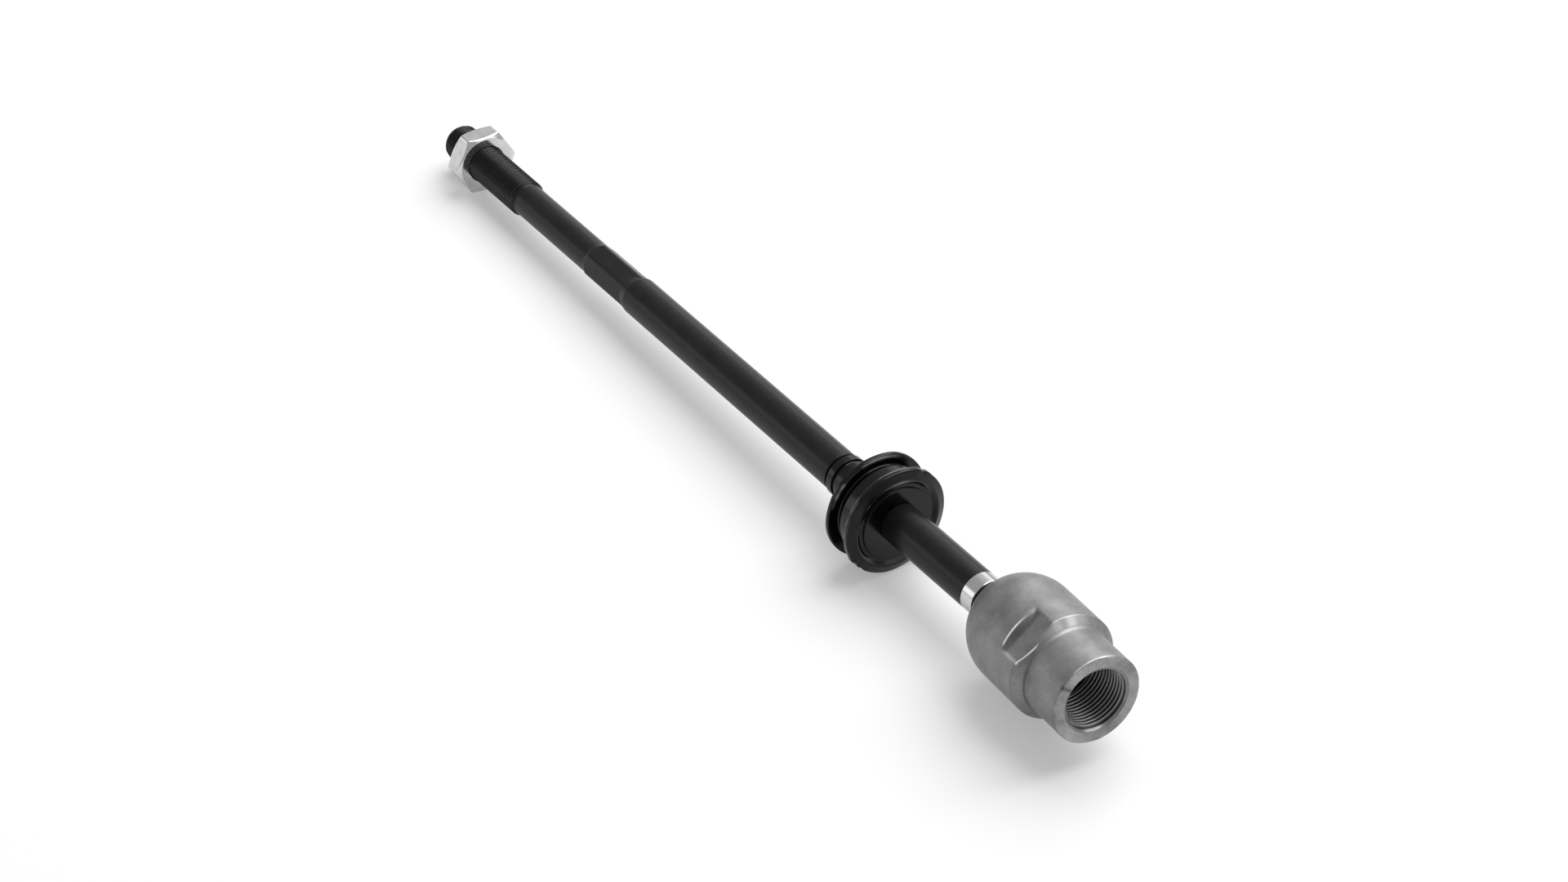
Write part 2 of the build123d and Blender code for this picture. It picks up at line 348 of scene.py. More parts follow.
def black_rubber():
    """Moulded black rubber: deep black with a soft gloss, and pale highlights painted on its crests."""
    surface = {"Roughness": 0.18, "Specular IOR Level": 0.26}
    finish, tree, shader, place = new_finish("moulded_black_rubber", surface)
    dust = add_node(tree, "ShaderNodeTexNoise", {"Vector": place, "Scale": 1 / (2.5 * MM), **GRAIN})
    fine = add_node(tree, "ShaderNodeTexNoise", {"Vector": place, "Scale": 1 / (0.3 * MM), **GRAIN})
    ground = add_node(tree, "ShaderNodeValToRGB", {"Fac": dust}, stops=((0.35, "#030303"), (0.7, "#090909")))
    painted_amount = add_node(tree, "ShaderNodeAttribute", {}, attribute_name="painted_light").outputs["Fac"]
    # painted highlight: pale grey mixed in where the skin's number is above zero
    painted_crest_light = {"Factor": painted_amount, "A": ground, "B": hex_colour("#d4d4d4")}
    feed(tree, shader, {
        "Base Color": add_node(tree, "ShaderNodeMix", painted_crest_light, data_type="RGBA"),
        "Roughness": add_node(tree, "ShaderNodeMapRange", {"Value": dust, "To Min": 0.11, "To Max": 0.22}),
        "Normal": add_node(tree, "ShaderNodeBump", {"Height": fine, "Distance": 0.008 * MM})})
    return finish


def acetal():
    """Moulded acetal of the ball seat, milky white and slightly waxy."""
    finish, tree, shader, place = new_finish("moulded_acetal", {"Roughness": 0.4, "IOR": 1.48})
    cloud = add_node(tree, "ShaderNodeTexNoise", {"Vector": place, "Scale": 1 / (4.0 * MM), **GRAIN})
    tone = add_node(tree, "ShaderNodeValToRGB", {"Fac": cloud}, stops=((0.3, "#dedbd2"), (0.7, "#e9e7df")))
    feed(tree, shader, {"Base Color": tone})
    return finish


zinc = bright_zinc()
rubber = black_rubber()
seat_plastic = acetal()
print("finishes", zinc.name, rubber.name, seat_plastic.name)

# %% [markdown]
# The socket is a forging cleaned by shot: matt, with fine pits and a mottled grey. Highlights are
# painted pale on some edges and faces, and shade is painted dark in some places. The mouth was faced
# and its thread cut later, so those are the same steel with other greys; the thread's greys are dark
# as painted shade inside the bore. The painted light is read from the points of the skin.

# %% Forged steel


def forged_steel(name, dark, light, bright, roughness, pit_mm):
    """Shot-cleaned forging: matt grey metal with fine pits and slow mottling, with painted highlights
    where the skin's number is above zero and painted shade where it is below.
    """
    finish, tree, shader, place = new_finish(name, {"Metallic": 0.75, "Roughness": roughness})
    mottle = add_node(tree, "ShaderNodeTexNoise", {"Vector": place, "Scale": 1 / (8.0 * MM), **GRAIN,
                      "Detail": 6.0})
    pits = add_node(tree, "ShaderNodeTexNoise", {"Vector": place, "Scale": 1 / (pit_mm * MM), **GRAIN,
                    "Detail": 3.0})
    both = add_node(tree, "ShaderNodeMix", {"Factor": 0.4, "A": mottle, "B": pits}, data_type="FLOAT")
    colour = add_node(tree, "ShaderNodeValToRGB", {"Fac": both}, stops=((0.35, dark), (0.65, light)))
    painted_light_fac = add_node(tree, "ShaderNodeAttribute", {}, attribute_name="painted_light").outputs["Fac"]
    cells = add_node(tree, "ShaderNodeTexVoronoi", {"Vector": place, "Scale": 1 / (2.2 * MM)})
    dimple = add_node(tree, "ShaderNodeMapRange", {"Value": cells.outputs["Distance"], "From Min": 0.05,
                      "From Max": 0.12, "To Min": 0.35, "To Max": 0.0})
    # painted shade where the number is below zero; painted highlight, less metallic, where it is above
    painted_shade_fac = add_node(tree, "ShaderNodeMapRange", {"Value": painted_light_fac, "From Min": 0.0, "From Max": -1.0})
    for share, shade in ((dimple, "#303030"), (painted_shade_fac, "#383838"), (painted_light_fac, bright)):
        colour = add_node(tree, "ShaderNodeMix", {"Factor": share, "A": colour, "B": hex_colour(shade)},
                          data_type="RGBA")
    feed(tree, shader, {
        "Base Color": colour,
        "Metallic": add_node(tree, "ShaderNodeMapRange", {"Value": painted_light_fac, "To Min": 0.75, "To Max": 0.2}),
        "Normal": add_node(tree, "ShaderNodeBump", {"Height": pits, "Distance": 0.03 * MM})})
    return finish


forging = forged_steel("shot_cleaned_forging", "#6e6e6e", "#929292", "#ffffff", 0.44, 0.4)
machined = forged_steel("faced_steel", "#6c6c6c", "#a8a8a8", "#f4f4f4", 0.42, 0.4)
# the bore's thread has dark greys as painted shade, and a pale grey for highlights painted on its crests
cut_thread = forged_steel("cut_thread_steel", "#2c2c2c", "#383838", "#989898", 0.22, 0.3)
print("finishes", forging.name, machined.name, cut_thread.name)

# %% [markdown]
# A metric thread is a ridge wound along a helix with flanks at 30 degrees. As a surface it is only a
# saw-tooth in the radius: the phase grows with the distance along the axis and falls with the angle
# round it, so one formula gives the outer and the inner thread. Both have a pitch of 1.5 mm.

# %% The thread's relief
PITCH = 1.5
PITCH_STEPS = 14
SHARP = PITCH * np.sqrt(3) / 2
CREST, ROD_ROOT, RACK_ROOT = 7 / 8, 1 / 6, 1 / 4


def ridge_depth(along, turn, root):
    """How far below its crest the thread lies. The phase is along / pitch - turn / 2 pi, and the climb
    goes from 0 in the root to 1 on the crest. The depth is the sharp ridge's height times the climb
    that is missing, cut flat over the last eighth and below the climb that root gives."""
    phase = (along / PITCH - turn / (2 * np.pi)) % 1.0
    climb = np.abs(2 * phase - 1)
    return SHARP * (CREST - np.clip(climb, root, CREST))


for where, root in (("on the rod", ROD_ROOT), ("in the neck", RACK_ROOT)):
    print("thread", where, "is", round(SHARP * (CREST - root), 2), "mm deep")

# %% [markdown]
# The spanner hexagon of the rod and the jam nut are both prisms with rounded corners: the distance
# from the axis to a flat is the apothem over the cosine of the angle off that flat, and near a
# corner it is the distance to a small circle. On the rod, cones join it to the round bar. Sizes are
# radii and places are distances from the ball's centre, negative away from the socket. A pole ring is
# the small ring next to a pole, and a hair is less than the step from one ring to the next.

# %% The rod's sizes and its hexagon
BALL_RADIUS, BALL_FLAT = 13.5, 4.5
SHANK, WAIST, SLIM, RECESS, THREAD, TIP_RADIUS = 7.05, 5.9, 6.15, 6.0, 7.0, 5.5
WAIST_END, SHOULDER, COAT_END, BUSH_FACE, BUSH_END = -16.5, -19.5, -24.8, -68.5, -100.9
CONE_START, HEX_START, HEX_END = -227.9, -231.4, -255.9
THREAD_START, THREAD_RUN_IN, TIP_CHAMFER, TIP = -306.3, 0.8, 2.2, -356.7
HEX_APOTHEM, HEX_ROUNDING, HEX_ROLL = 6.2, 1.4, np.radians(14.0)
POLE_RING, HAIR = 0.4, 0.01


def hexagon(turn, apothem, rounding, roll):
    """Distance from the axis to a hexagon with rounded corners; at no roll one flat is straight up."""
    sixth = np.pi / 3
    off_flat = (turn - roll + sixth / 2) % sixth - sixth / 2
    off_corner = sixth / 2 - np.abs(off_flat)
    reach = (apothem - rounding) / np.cos(sixth / 2)
    flat = apothem / np.cos(off_flat)
    under = np.clip(rounding**2 - (reach * np.sin(off_corner)) ** 2, 0, None)
    corner = reach * np.cos(off_corner) + np.sqrt(under)
    on_flat = np.abs(off_flat) < np.arctan(reach * np.sin(sixth / 2) / apothem)
    return np.where(on_flat, flat, corner)


def hexagon_wall(along, turn):
    """The hexagon with its corners chamfered towards the thread, joined to the cone of the shank."""
    wall = hexagon(turn, HEX_APOTHEM, HEX_ROUNDING, HEX_ROLL)
    chamfer = SLIM + (along - HEX_END) / 2
    cone = HEX_APOTHEM + (along - HEX_START) * (SHANK - HEX_APOTHEM) / (CONE_START - HEX_START)
    slim = np.where(along < HEX_END + 1.0, SLIM, 0.0)
    return np.maximum(np.maximum(np.minimum(wall, chamfer), cone), slim)


print("rod's hexagon is", 2 * HEX_APOTHEM, "mm across flats")

# %% [markdown]
# The rod is one piece from its ball to the tip of its thread, so its skin is one outline. Runs of it
# are stepped as finely as they need: the plain shank coarsely, the thread in 14 steps to a turn.

# %% The rod


def ball_outline():
    """Out over the flat that closes the ball, then round its arc to the waist."""
    flat_at, waist_at = np.sqrt(BALL_RADIUS**2 - BALL_FLAT**2), np.sqrt(BALL_RADIUS**2 - WAIST**2)
    sweep = np.linspace(np.arctan2(BALL_FLAT, flat_at), np.arctan2(WAIST, -waist_at), 40)
    arc = np.stack([BALL_RADIUS * np.cos(sweep), BALL_RADIUS * np.sin(sweep)], axis=1)
    flat = np.stack([np.full(3, flat_at), np.linspace(POLE_RING, BALL_FLAT, 4)[:-1]], axis=1)
    return np.vstack([flat, arc])


def make_rod():
    """Turned outline from ball to tip, with the hexagon and the thread cut into its radius."""
    ball = ball_outline()
    front = outline(ball[-1], (WAIST_END, WAIST, 1.5), (SHOULDER, SHANK, 0.8), (COAT_END, SHANK), step=0.6)
    shank = outline((COAT_END, SHANK), (BUSH_FACE, SHANK, 0.2), (BUSH_FACE, RECESS), (BUSH_END, RECESS),
                    (BUSH_END, SHANK, 0.2), (CONE_START, SHANK, 1.5), (HEX_START, HEX_APOTHEM), step=2.0)
    hexed = outline((HEX_START, HEX_APOTHEM), (HEX_END, HEX_APOTHEM), step=0.35)
    slim = outline((HEX_END, SLIM), (THREAD_START + THREAD - SLIM, SLIM), step=2.0)
    threaded = outline((THREAD_START + THREAD_RUN_IN, SLIM), (THREAD_START, THREAD),
                       (TIP + TIP_CHAMFER, THREAD), (TIP, TIP_RADIUS), step=PITCH / PITCH_STEPS)
    end = outline((TIP, TIP_RADIUS), (TIP, POLE_RING), step=1.5)
    path = np.vstack([ball, front[1:], shank[1:], hexed[1:], slim[1:], threaded[1:], end[1:]])
    turn = spokes_of(120)
    along, out = path[:, :1], np.repeat(path[:, 1:], turn.size, axis=1)
    out = np.where((along <= CONE_START) & (along >= HEX_END), hexagon_wall(along, turn), out)
    grooved = np.minimum(out, THREAD - ridge_depth(along, turn, ROD_ROOT))
    out = np.where((along <= THREAD_START + THREAD_RUN_IN) & (along > TIP + HAIR), grooved, out)
    x = path[:, 0]
    on_band = (x > COAT_END + HAIR) & (x < SHOULDER + 0.25)
    on_ball = x > ball[-1, 0] - HAIR
    paint = np.where(on_band | on_ball, 1, np.where(x < THREAD_START + THREAD_RUN_IN / 2, 2, 0))
    return ring_skin("tie_rod_skin", along, out, ROD, "rod", "tie_rod", (coat, band, oiled), paint=paint)


rod_skin = make_rod()

# %% [markdown]
# The jam nut is a turned blank with a hexagon milled round it. Its chamfers are cones that cut the
# six corners in arcs. A soft minimum of hexagon and cone leaves the small worn radius that catches
# the light as a white line, wider on the face towards the socket.

# %% The jam nut
NUT_OUTER, NUT_INNER, NUT_APOTHEM, NUT_ROUNDING = -343.8, -335.8, 11.0, 0.8
NUT_CHAMFER_RADIUS, NUT_BORE, NUT_MOUTH, MOUTH_DEPTH = 10.45, 7.05, 7.4, 0.35
WORN_NEAR, WORN_FAR, EDGE_ZONE = 0.8, 0.3, 1.6


def soft_min(a, b, width):
    """The smaller of two, with the kink between them rounded over the given width."""
    share = np.clip(0.5 + (b - a) / (2 * width), 0, 1)
    return b * (1 - share) + a * share - width * share * (1 - share) / 2


def make_nut():
    """Closed ring: inner bore, faces, and a wall that is the lesser of hexagon and chamfer cones."""
    height = NUT_INNER - NUT_OUTER
    turn = spokes_of(240)
    edge = np.linspace(0, EDGE_ZONE, 33)
    middle = np.linspace(EDGE_ZONE + 0.1, height - EDGE_ZONE - 0.1, 14)
    wall_at = np.concatenate([edge, middle, height - edge[::-1]])
    from_face = np.minimum(wall_at, height - wall_at)[:, None]
    cone = NUT_CHAMFER_RADIUS + from_face / np.tan(np.radians(30))
    worn_edge = np.where(wall_at < height / 2, WORN_NEAR, WORN_FAR)[:, None]
    outer = soft_min(hexagon(turn, NUT_APOTHEM, NUT_ROUNDING, 0.0), cone, worn_edge)
    bore = outline((NUT_OUTER, NUT_CHAMFER_RADIUS), (NUT_OUTER, NUT_MOUTH, 0.1),
                   (NUT_OUTER + MOUTH_DEPTH, NUT_BORE), (NUT_INNER - MOUTH_DEPTH, NUT_BORE),
                   (NUT_INNER, NUT_MOUTH, 0.1), (NUT_INNER, NUT_CHAMFER_RADIUS), step=0.5)[1:-1]
    along = np.concatenate([bore[:, 0], NUT_INNER - wall_at])[:, None]
    out = np.vstack([np.repeat(bore[:, 1:], turn.size, axis=1), outer])
    return ring_skin("jam_nut_skin", along, out, ROD, "nut", "jam_nut", (zinc,), closed=True)


nut_skin = make_nut()

# %% [markdown]
# Nothing that was moulded or forged is quite even. A few slow waves round a rim, bumps at chosen
# angles and smooth steps are enough to place every unevenness of the bush and the socket, and the
# highlights and shade painted on them, without a second mesh. Angles are in degrees, 0 straight up
# and positive towards the lower left of the picture.

# %% Tools for uneven rims and painted light


def degrees_round(turn):
    """The spokes' angles in degrees, from -180 to 180."""
    return (np.degrees(turn) + 180) % 360 - 180


def rim_wave(turn, seed, waves=9):
    """Sum of sines round the rim with random sizes and starts, about one unit high."""
    rng = np.random.default_rng(seed)
    number = np.arange(2, 2 + waves)[:, None]
    size, start = rng.uniform(0.2, 1.0, (waves, 1)) / np.sqrt(number), rng.uniform(0, 2 * np.pi, (waves, 1))
    return (size * np.sin(number * turn + start)).sum(axis=0, keepdims=True) / 1.6


def smooth_step(low, high, value):
    """0 below low, 1 above high, and a smooth climb between."""
    share = np.clip((value - low) / (high - low), 0, 1)
    return share * share * (3 - 2 * share)


def between(value, start, full, fading, end):
    """0 outside start and end, 1 from full to fading, and smooth steps between them."""
    return smooth_step(start, full, value) * (1 - smooth_step(fading, end, value))


def spot(value, centre, width):
    """A bell of height 1 about a centre: e to the minus square of the distance over the width."""
    return np.exp(-(((value - centre) / width) ** 2))


def bumps(angle, *rows):
    """Sum of bells round the rim, each with a height, a centre and a width."""
    return sum(height * spot(angle, centre, width) for height, centre, width in rows)


print("a bell 3 wide is", spot(3.0, 0.0, 3.0).round(2), "high at 3 from its centre")

# %% [markdown]
# The bush is moulded rubber: a ringed sleeve, two flanges, and the gaiter's seat between them. Its
# rims aren't true circles, because the mould's parting left a thin ragged flash and the lips wave a
# little. It also hangs a little low and to one side on its recess, so all but its inner rings are
# nudged there.

# %% The gaiter bush's outline
FLANGE, SEAT_BAND, SEAT_VALLEY, SLEEVE, BUSH_BORE = 19.1, 16.6, 15.0, 7.55, 6.05
FACE, FACE_DISC, MOAT, LIP = BUSH_FACE - 0.1, 13.0, 14.3, 15.8
NEAR_FRONT = -69.6
NEAR_BACK = NEAR_FRONT - 2.0
BAND_END = NEAR_BACK - 6.2
FAR_FRONT = BAND_END - 2.6
FAR_BACK = FAR_FRONT - 1.5
SLEEVE_START = FAR_BACK - 2.2
SLEEVE_END = SLEEVE_START - 16.7
GROOVE_START, GROOVE_END, END_GROOVE = SLEEVE_END + 5.5, SLEEVE_END + 4.2, SLEEVE_END + 1.2
GROOVE_FLOOR, END_FLOOR, GROOVE_DRAFT = SLEEVE - 0.9, 6.4, 0.1
RIM_START, RIM_FULL, SAG_START, SAG_LEFT, SAG_UP = 17.0, 19.0, 8.0, -0.5, -0.35


def bush_outline():
    """Once round the section: the face with its moat and lip, both flanges, the sleeve and the bore."""
    return outline(
        (FACE, BUSH_BORE), (FACE, FACE_DISC, 0.3), (FACE - 0.8, FACE_DISC, 0.2), (FACE - 0.8, MOAT, 0.2),
        (FACE + 0.4, LIP, 0.9), (NEAR_FRONT, FLANGE, 0.4), (NEAR_BACK, FLANGE, 0.4),
        (NEAR_BACK, SEAT_BAND, 0.3), (BAND_END, SEAT_BAND, 0.6), (BAND_END, SEAT_VALLEY, 0.6),
        (FAR_FRONT, SEAT_VALLEY, 0.6), (FAR_FRONT, FLANGE, 0.4), (FAR_BACK, FLANGE, 0.4),
        (SLEEVE_START, SLEEVE, 1.0), (GROOVE_START + GROOVE_DRAFT, SLEEVE, 0.15),
        (GROOVE_START, GROOVE_FLOOR), (GROOVE_END, GROOVE_FLOOR),
        (GROOVE_END - GROOVE_DRAFT, SLEEVE, 0.15), (END_GROOVE + GROOVE_DRAFT, SLEEVE, 0.15),
        (END_GROOVE, END_FLOOR), (SLEEVE_END, END_FLOOR), (SLEEVE_END, BUSH_BORE), step=0.5, closed=True)


print("bush outline has", len(bush_outline()), "points and is", round(FACE - SLEEVE_END, 1), "mm long")

# %% [markdown]
# The flash stands out and the nicks lie in at a few places of the near rim. The painted highlight is
# a thin pale line on crests that face the light, broken up by quick waves.

# %% The gaiter bush


def bush_painted_highlight(along, out, turn):
    """Painted highlights: patches on the upper half, times the far flange's face, the near flange's back
    edge and the lip.
    """
    angle = degrees_round(turn)
    upper = between(angle, -40, 0, 95, 120)
    on_face = spot(along, FAR_FRONT, 0.3) * spot(out, FLANGE - 0.9, 0.45) * (1 - smooth_step(55, 75, angle))
    on_back = spot(along, NEAR_BACK + 0.2, 0.35) * smooth_step(FLANGE - 0.5, FLANGE - 0.1, out)
    on_lip = spot(along, FACE - 0.1, 0.5) * spot(out, LIP - 0.5, 0.5) * between(angle, -30, -10, 35, 60)
    patches = np.clip(0.6 + 0.7 * rim_wave(turn, seed=40, waves=30), 0.1, 1)
    return np.clip(patches * upper * (on_face + 0.4 * on_back + on_lip), 0, 1)


def make_bush():
    """The section's rings, with uneven rims, a waving lip and painted highlights, sagging on the recess
    away from the bore.
    """
    path = bush_outline()
    turn = spokes_of(240)
    angle = degrees_round(turn)
    along, out = path[:, :1], path[:, 1:]
    # painted highlights on the crests that face the light
    painted_crest_light = bush_painted_highlight(along, out, turn)
    flash = bumps(angle, (0.2, -43, 3.5), (0.15, -29, 5.0), (0.25, 117, 3.0))
    nicks = bumps(angle, (0.25, -35, 2.5), (0.45, 124, 2.5), (0.3, 134, 3.0))
    near = smooth_step(BAND_END, NEAR_BACK, along)
    uneven = near * (flash - nicks) - 0.12 * np.abs(rim_wave(turn, seed=5))
    rim = np.clip((out - RIM_START) / (RIM_FULL - RIM_START), 0, 1)
    lip = spot(out, LIP, 1.2) * smooth_step(NEAR_FRONT + 0.1, NEAR_FRONT + 0.6, along)
    sag = smooth_step(SAG_START, FACE_DISC, out) * np.ones_like(turn)
    along = along + 0.16 * rim * rim_wave(turn, seed=8) + 0.12 * lip * rim_wave(turn, seed=21)
    out = out + rim * uneven
    return ring_skin("gaiter_bush_skin", along, out, ROD, "bush", "gaiter_bush", (rubber,), closed=True,
                     painted_light=painted_crest_light, nudge=(SAG_LEFT * sag, SAG_UP * sag))


bush_skin = make_bush()

# %% [markdown]
# The socket is one forged cup: a dome, a barrel, a step and a neck. A flat is cut into each side for
# a spanner. It is open towards the neck and ends behind in a coned wall with a rounded rim, so the
# barrel's radius is the lesser of itself and of the cut, which is the greater of flat and wall.

# %% The socket's sizes and its spanner flats
BARREL, NECK, CAVITY = 18.45, 15.35, 15.6
BARREL_END, STEP_END, MOUTH = 21.1, 23.7, 40.5
BORE, LEAD_IN, BORE_FLOOR = 11.0, 11.4, 20.0
FLAT_DISTANCE, FLAT_START, FLAT_ROLL, WALL_ROUNDING = 16.5, 12.6, np.radians(37.5), 3.8
OPENING = np.radians(43.0)


def end_wall(along):
    """Radius of the wall behind a flat: a cone at 45 degrees whose rim is a large fillet. Beyond the rim
    it climbs clear of the barrel, which leaves the barrel whole."""
    start = FLAT_START - WALL_ROUNDING * np.tan(np.pi / 8)
    end = start + WALL_ROUNDING * np.sin(np.pi / 4)
    bend = BARREL - WALL_ROUNDING + np.sqrt(np.clip(WALL_ROUNDING**2 - (along - start) ** 2, 0, None))
    wall = np.where(along > end, BARREL - (along - FLAT_START), bend)
    return np.where(along < start, BARREL + 0.6 * (start - along), wall)


def spanner_flats(along, turn, out):
    """Pulls the barrel in to two flats, open towards the neck, with a coned wall behind each. The soft
    maximum of flat and wall is minus the soft minimum of their negatives."""
    off = (turn - FLAT_ROLL + np.pi / 2) % np.pi - np.pi / 2
    flat = FLAT_DISTANCE / np.clip(np.cos(off), 0.2, 1)
    cut = soft_min(out, -soft_min(-flat, -end_wall(along), 0.2), 0.14)
    return out + smooth_step(FLAT_START - 2.2, FLAT_START - 1.6, along) * (cut - out)


print("spanner flats are", 2 * FLAT_DISTANCE, "mm apart on a barrel of", 2 * BARREL, "mm")

# %% [markdown]
# Highlights are painted on the socket in a few places only, and each is placed by its distance along
# the axis and its angle. Shade is painted at both roots of the step and in one nick of the mouth, and
# the wall behind the flat is painted darker.

# %% Where highlights and shade are painted on the socket


def housing_painted_light(along, turn, out):
    """Painted highlights, above zero, on the rim of the wall, the flat's two edges, the step and the
    mouth; below zero, painted shade at the roots and in the nick and a darker wall. off is the angle
    from the middle of the nearer flat."""
    angle = degrees_round(turn)
    off = (angle - np.degrees(FLAT_ROLL) + 90) % 180 - 90
    patchy = np.clip(0.6 + 0.6 * rim_wave(turn, seed=3, waves=24), 0.1, 1)
    flat = FLAT_DISTANCE / np.cos(np.radians(np.clip(off, -26, 26)))
    burr_at = BARREL_END + (BARREL - flat) * (STEP_END - BARREL_END) / (BARREL - NECK)
    rim = spot(along, FLAT_START - 0.2, 0.24) * between(off, -18, 4, 20, 25)
    side = spot(along, burr_at, 0.2) * spot(out, flat, 0.35) * between(off, -4, 4, 27, 29)
    edge = spot(off, 26.6, 1.0) * between(along, 13, 15, 21, 22)
    step = between(along, BARREL_END - 0.3, BARREL_END + 0.2, STEP_END - 0.8, STEP_END - 0.3)
    step = step * spot(angle, 0, 20)
    mouth = spot(along, MOUTH - 0.25, 0.16) * smooth_step(NECK - 0.45, NECK - 0.05, out)
    mouth = mouth * between(angle, -25, -15, 22, 40)
    wall = between(along, FLAT_START + 0.1, FLAT_START + 0.5, FLAT_START + 2, FLAT_START + 3)
    wall = wall * (1 - smooth_step(24, 27, np.abs(off)))
    neck_root = spot(along, STEP_END + 0.2, 0.5) * smooth_step(50, 75, angle)
    barrel_root = spot(along, BARREL_END - 0.5, 0.4) * smooth_step(60, 80, angle)
    nick = spot(angle, 53, 3.0) * spot(along, MOUTH - 0.2, 0.5)
    # painted highlights
    bright = 1.1 * rim + patchy * (1.5 * side + 0.5 * edge + 0.5 * step + 0.8 * mouth)
    # painted shade, and the wall behind the flat painted darker
    dark = 0.45 * wall + 0.7 * neck_root + 0.42 * barrel_root + 0.9 * nick
    return np.clip(bright - dark, -1, 1)


print("the flats lie", np.degrees(FLAT_ROLL).round(1), "degrees off the top, and opposite")

# %% [markdown]
# Inside the cup there is a bore with the rack's thread, a web, and the hollow of the ball. One path
# runs from the web, out round the mouth, over the dome and back to the web. Its stretches are named,
# so that the flats, the thread, the ragged mouth and the finishes each know where they belong.

# %% The socket housing
OUTSIDE = ("neck", "shoulder", "barrel", "wall", "rest")
LEAD_ANGLE, LEAD_SWING, LEAD_STEEPEST = 50, 17, np.radians(10)
# height, angle and width of a seam, then where along the neck it starts, is full, fades and ends
SEAMS = ((0.1, 42, 1.6, 22.6, 23.2, 27, 30), (0.08, 33.6, 1.6, 24, 24.6, 32, 35))


def on_sphere(radius, sweep):
    """Points (radius * cos, radius * sin) of angles from the axis."""
    return radius * np.stack([np.cos(sweep), np.sin(sweep)], axis=-1)


def housing_stretches():
    """The path from the web round the outside and back to the web, as named stretches."""
    brim = np.pi - OPENING
    dome = on_sphere(BARREL, np.linspace(np.pi / 2, brim - 0.03, 32))
    hollow = on_sphere(CAVITY, np.linspace(brim - 0.04, 0.03, 30))
    over_lip = (*on_sphere(BARREL, brim), 0.4), (*on_sphere(CAVITY, brim), 0.4)
    bore, lead = (BORE_FLOOR + 1.2, BORE), (MOUTH - 0.06, LEAD_IN - 0.03)
    return {
        "floor": outline((BORE_FLOOR, POLE_RING), (BORE_FLOOR, BORE, 1.0), bore, step=1.5),
        "thread": outline(bore, (MOUTH - 0.4, BORE), lead, step=PITCH / PITCH_STEPS),
        "mouth": outline(lead, (MOUTH, LEAD_IN + 0.06), (MOUTH, NECK, 0.5), (MOUTH - 2, NECK), step=0.4),
        "neck": outline((MOUTH - 2, NECK), (STEP_END + 1.5, NECK), step=0.7),
        "shoulder": outline((STEP_END + 1.5, NECK), (STEP_END, NECK, 2.2), (BARREL_END, BARREL, 0.6),
                            (BARREL_END - 1, BARREL), step=0.15, arc_steps=10),
        "barrel": outline((BARREL_END - 1, BARREL), (FLAT_START + 2.6, BARREL), step=0.5),
        "wall": outline((FLAT_START + 2.6, BARREL), (FLAT_START - 1.9, BARREL), step=0.1),
        "rest": outline((FLAT_START - 1.9, BARREL), (0, BARREL), step=0.8),
        "dome": dome,
        "lip": outline(dome[-1], *over_lip, hollow[0], step=0.4),
        "hollow": hollow,
    }


def rack_thread(along, turn, out):
    """Ridges inwards from the bore that fade in above the floor. A lead-in cone cuts them at the mouth,
    steeper on one side, as in the photograph."""
    ridge = SHARP * (CREST - RACK_ROOT) - ridge_depth(along, turn, RACK_ROOT)
    lead_slope = np.tan(np.radians(LEAD_ANGLE + LEAD_SWING * np.cos(turn - LEAD_STEEPEST)))
    ridged = out - ridge * smooth_step(BORE_FLOOR + 1.0, BORE_FLOOR + 2.6, along)
    return np.maximum(ridged, LEAD_IN - (MOUTH - along) * lead_slope)


def make_housing():
    """The named path's rings, with flats, thread, two faint seams on the neck and a chipped mouth, and
    painted highlights and shade on its points.
    """
    stretches = housing_stretches()
    joined = [points[1:] if index else points for index, points in enumerate(stretches.values())]
    path = np.vstack(joined)
    part = np.repeat(list(stretches), [len(points) for points in joined])[:, None]
    outside, threaded = np.isin(part, OUTSIDE), part == "thread"
    at_mouth = np.isin(part, ("mouth", "neck"))
    turn = spokes_of(216)
    angle = degrees_round(turn)
    along, out = path[:, :1], np.repeat(path[:, 1:], turn.size, axis=1)
    out = np.where(outside, spanner_flats(along, turn, out), out)
    out = np.where(threaded, rack_thread(along, turn, out), out)
    seams = sum(height * spot(angle, centre, width) * between(along, *stations)
                for height, centre, width, *stations in SEAMS)
    rim = spot(along, MOUTH, 0.9) * smooth_step(13.6, 15.0, out)
    chips = bumps(angle, (0.3, 53, 2.0), (0.25, 97, 2.5), (0.3, 105, 2.0))
    ragged = 0.07 * rim_wave(turn, seed=12, waves=30) - chips
    out = np.where(outside & (out < NECK + 0.05), out + seams, out)
    out = np.where(at_mouth, out + rim * ragged, out)
    # painted highlights on the thread's crests and on its last turns at the mouth
    crests = smooth_step(BORE - 0.25, BORE - 0.75, out) + 0.7 * smooth_step(MOUTH - 1.0, MOUTH - 0.6, along)
    painted_light = np.where(threaded, crests, housing_painted_light(along, turn, out) * (outside | at_mouth))
    faced = (part == "mouth") & (along > MOUTH - 0.1)
    paint = np.where(np.isin(part, ("floor", "thread")), 2, np.where(faced, 1, 0))[:, 0]
    return ring_skin("socket_housing_skin", along, out, SOCKET, "housing", "socket_housing",
                     (forging, machined, cut_thread), paint=paint, painted_light=painted_light)


housing_skin = make_housing()

# %% [markdown]
# The plastic seat between ball and cup hardly shows, so its solid is good enough as it is and only
# gets its finish.

# %% The ball seat
seat = frame["nodes"]["ball_seat"]
seat.data.materials.clear()
seat.data.materials.append(seat_plastic)
print("ball seat is shown as its solid, in", seat.data.materials[0].name)

